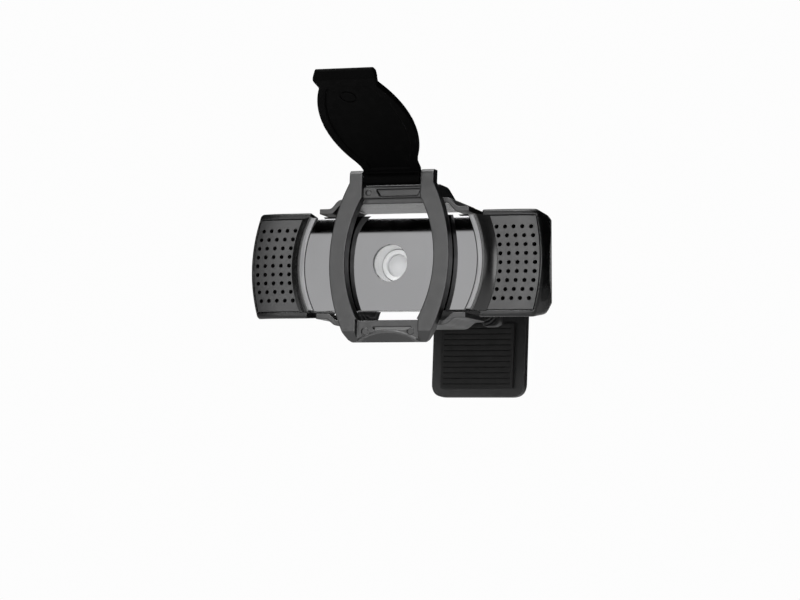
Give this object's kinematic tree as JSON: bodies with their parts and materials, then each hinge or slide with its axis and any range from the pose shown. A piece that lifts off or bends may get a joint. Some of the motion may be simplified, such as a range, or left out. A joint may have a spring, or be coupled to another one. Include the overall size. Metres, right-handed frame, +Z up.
{
  "type": "clip-on webcam",
  "caption": "Bar-shaped desk webcam with perforated microphone grilles, a mirror faceplate, a clip-on flip-up privacy cover and a monitor clip with a folding leg.",
  "frame": {"origin": "middle of the clip's seat pad underside, which rests on a monitor's top edge", "axes": "+Z up, -Y the way the lens looks, +X to the right of a person facing the lens"},
  "size_m": [0.085, 0.1138, 0.0758],
  "materials": {
    "black_plastic": "fine moulded texture, satin",
    "cover_plastic": "satin moulded",
    "lid_plastic": "matt moulded",
    "mirror_face": "half-silvered gloss",
    "silver_trim": "satin silver paint",
    "clear_glass": "polished, coated",
    "rubber": "matt",
    "steel": "zinc plated",
    "brass": "turned",
    "board": "solder mask",
    "chip": "moulded package",
    "felt": "black acoustic felt"
  },
  "bodies": {
    "clip": {"clip_base": "black_plastic", "seat_pad": "rubber", "lip_pad_left": "rubber", "lip_pad_right": "rubber", "hinge_washer_left": "steel", "hinge_washer_right": "steel", "hinge_pin": "steel", "leg_pin": "steel"},
    "leg": {"clip_leg": "black_plastic", "leg_pad": "rubber", "tripod_insert": "brass"},
    "head": {"front_housing": "black_plastic", "rear_housing": "black_plastic", "faceplate": "mirror_face", "trim_arc_left": "silver_trim", "trim_arc_right": "silver_trim", "grille_left": "black_plastic", "grille_right": "black_plastic", "microphone_felt_left": "felt", "microphone_felt_right": "felt", "microphone_boot_left": "rubber", "microphone_boot_right": "rubber", "microphone_capsule_left": "steel", "microphone_capsule_right": "steel", "lens_window": "clear_glass", "lens_well": "silver_trim", "focus_motor": "chip", "sensor_holder": "black_plastic", "infrared_filter": "clear_glass", "image_sensor": "chip", "sensor_board": "board", "board_connector": "chip", "main_board": "board", "video_processor": "chip", "status_led": "clear_glass", "cable_header": "silver_trim", "cable_gland": "rubber", "housing_screw_1": "steel", "housing_screw_2": "steel", "housing_screw_3": "steel", "housing_screw_4": "steel"},
    "focus_lens": {"lens_barrel": "silver_trim", "front_lens": "clear_glass", "middle_lens": "clear_glass", "rear_lens": "clear_glass"},
    "cover": {"cover_frame": "cover_plastic", "lid_pin": "steel"},
    "lid": {"cover_lid": "lid_plastic"}
  },
  "joints": [
    {"name": "head_tilt", "type": "hinge", "parent": "clip", "child": "head", "pos_m": [0, -0.0175, 0.0057], "axis": [1, 0, 0], "range_deg": [-30, 20]},
    {"name": "leg_fold", "type": "hinge", "parent": "clip", "child": "leg", "pos_m": [0, 0.0195, 0.0026], "axis": [1, 0, 0], "range_deg": [-88, 75]},
    {"name": "focus_travel", "type": "slide", "parent": "head", "child": "focus_lens", "axis": [0, -1, 0], "range_m": [0, 0.0003], "stiffness_N_per_m": 30},
    {"name": "cover_removal", "type": "slide", "parent": "head", "child": "cover", "axis": [0, -1, 0], "range_m": [0, 0.03]},
    {"name": "lid_flip", "type": "hinge", "parent": "cover", "child": "lid", "pos_m": [0.0009, -0.0479, 0.0269], "axis": [1, 0, 0], "range_deg": [0, 118]}
  ]
}
